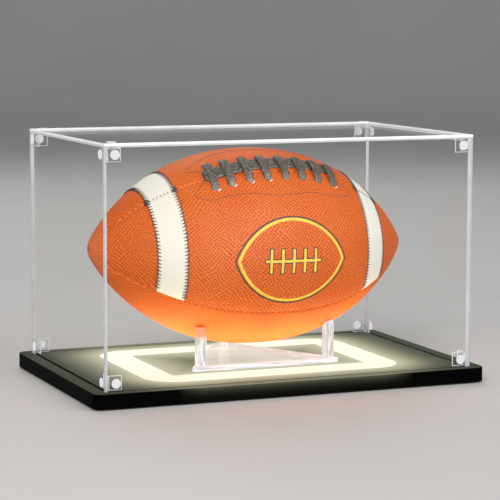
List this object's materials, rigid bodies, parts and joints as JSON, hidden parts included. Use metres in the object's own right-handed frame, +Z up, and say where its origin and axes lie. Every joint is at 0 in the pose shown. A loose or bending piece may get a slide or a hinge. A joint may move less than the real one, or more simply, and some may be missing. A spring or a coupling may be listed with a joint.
{
  "type": "football display case",
  "caption": "Clear riveted cover over a football that lies on a clear stand, on a black base with a built-in warm light ring.",
  "frame": {"origin": "middle of the footprint, on the surface that the feet stand on", "axes": "+X along the case to the right as seen from the front, +Y to the back, +Z up"},
  "size_m": [0.346, 0.22, 0.2102],
  "materials": {
    "black_base": "high gloss",
    "black_underside": "fine grain",
    "screw_steel": "satin",
    "foot_rubber": "matte",
    "light_white": "frosted, lit from below",
    "strip_white": "solder mask",
    "chip_yellow": "clear resin over phosphor",
    "board_green": "solder mask",
    "chip_black": "moulded",
    "socket_steel": "satin",
    "lead_red": "satin",
    "stand_clear": "polished clear acrylic",
    "sheet_clear": "clear acrylic sheet",
    "connector_clear": "clear moulded",
    "rivet_white": "moulded",
    "ball_leather": "pebbled",
    "stripe_white": "smooth painted",
    "lace_grey": "textured",
    "bladder_black": "matte",
    "valve_black": "satin"
  },
  "bodies": {
    "base": {"base_shell": "black_base", "bottom_cover": "black_underside", "cover_screws": "screw_steel", "foot_front_left": "foot_rubber", "foot_front_right": "foot_rubber", "foot_back_left": "foot_rubber", "foot_back_right": "foot_rubber", "light_diffuser": "light_white", "light_strip": "strip_white", "light_chips": "chip_yellow", "driver_board": "board_green", "driver_chips": "chip_black", "power_socket": "socket_steel", "strip_leads": "lead_red", "stand_plate": "stand_clear", "stand_post_left": "stand_clear", "stand_post_right": "stand_clear", "stand_post_rear": "stand_clear"},
    "cover": {"front_panel": "sheet_clear", "back_panel": "sheet_clear", "left_panel": "sheet_clear", "right_panel": "sheet_clear", "top_panel": "sheet_clear", "connector_top_front_left": "connector_clear", "connector_top_front_right": "connector_clear", "connector_top_back_left": "connector_clear", "connector_top_back_right": "connector_clear", "connector_low_front_left": "connector_clear", "connector_low_front_right": "connector_clear", "connector_low_back_left": "connector_clear", "connector_low_back_right": "connector_clear", "front_rivets": "rivet_white", "back_rivets": "rivet_white", "left_rivets": "rivet_white", "right_rivets": "rivet_white", "top_rivets": "rivet_white"},
    "football": {"ball_panel_front": "ball_leather", "ball_panel_top": "ball_leather", "ball_panel_back": "ball_leather", "ball_panel_bottom": "ball_leather", "ball_bladder": "bladder_black", "ball_valve": "valve_black", "ball_laces": "lace_grey", "ball_lace_strip": "lace_grey", "ball_stripe_left": "stripe_white", "ball_stripe_right": "stripe_white"}
  },
  "joints": [
    {"name": "cover_lift", "type": "slide", "parent": "base", "child": "cover", "axis": [0, 0, 1], "range_m": [0, 0.25]},
    {"name": "football_roll", "type": "hinge", "parent": "base", "child": "football", "pos_m": [0, 0, 0.1123], "axis": [0.9998, 0, -0.0175], "range_deg": [-150, 95]}
  ]
}
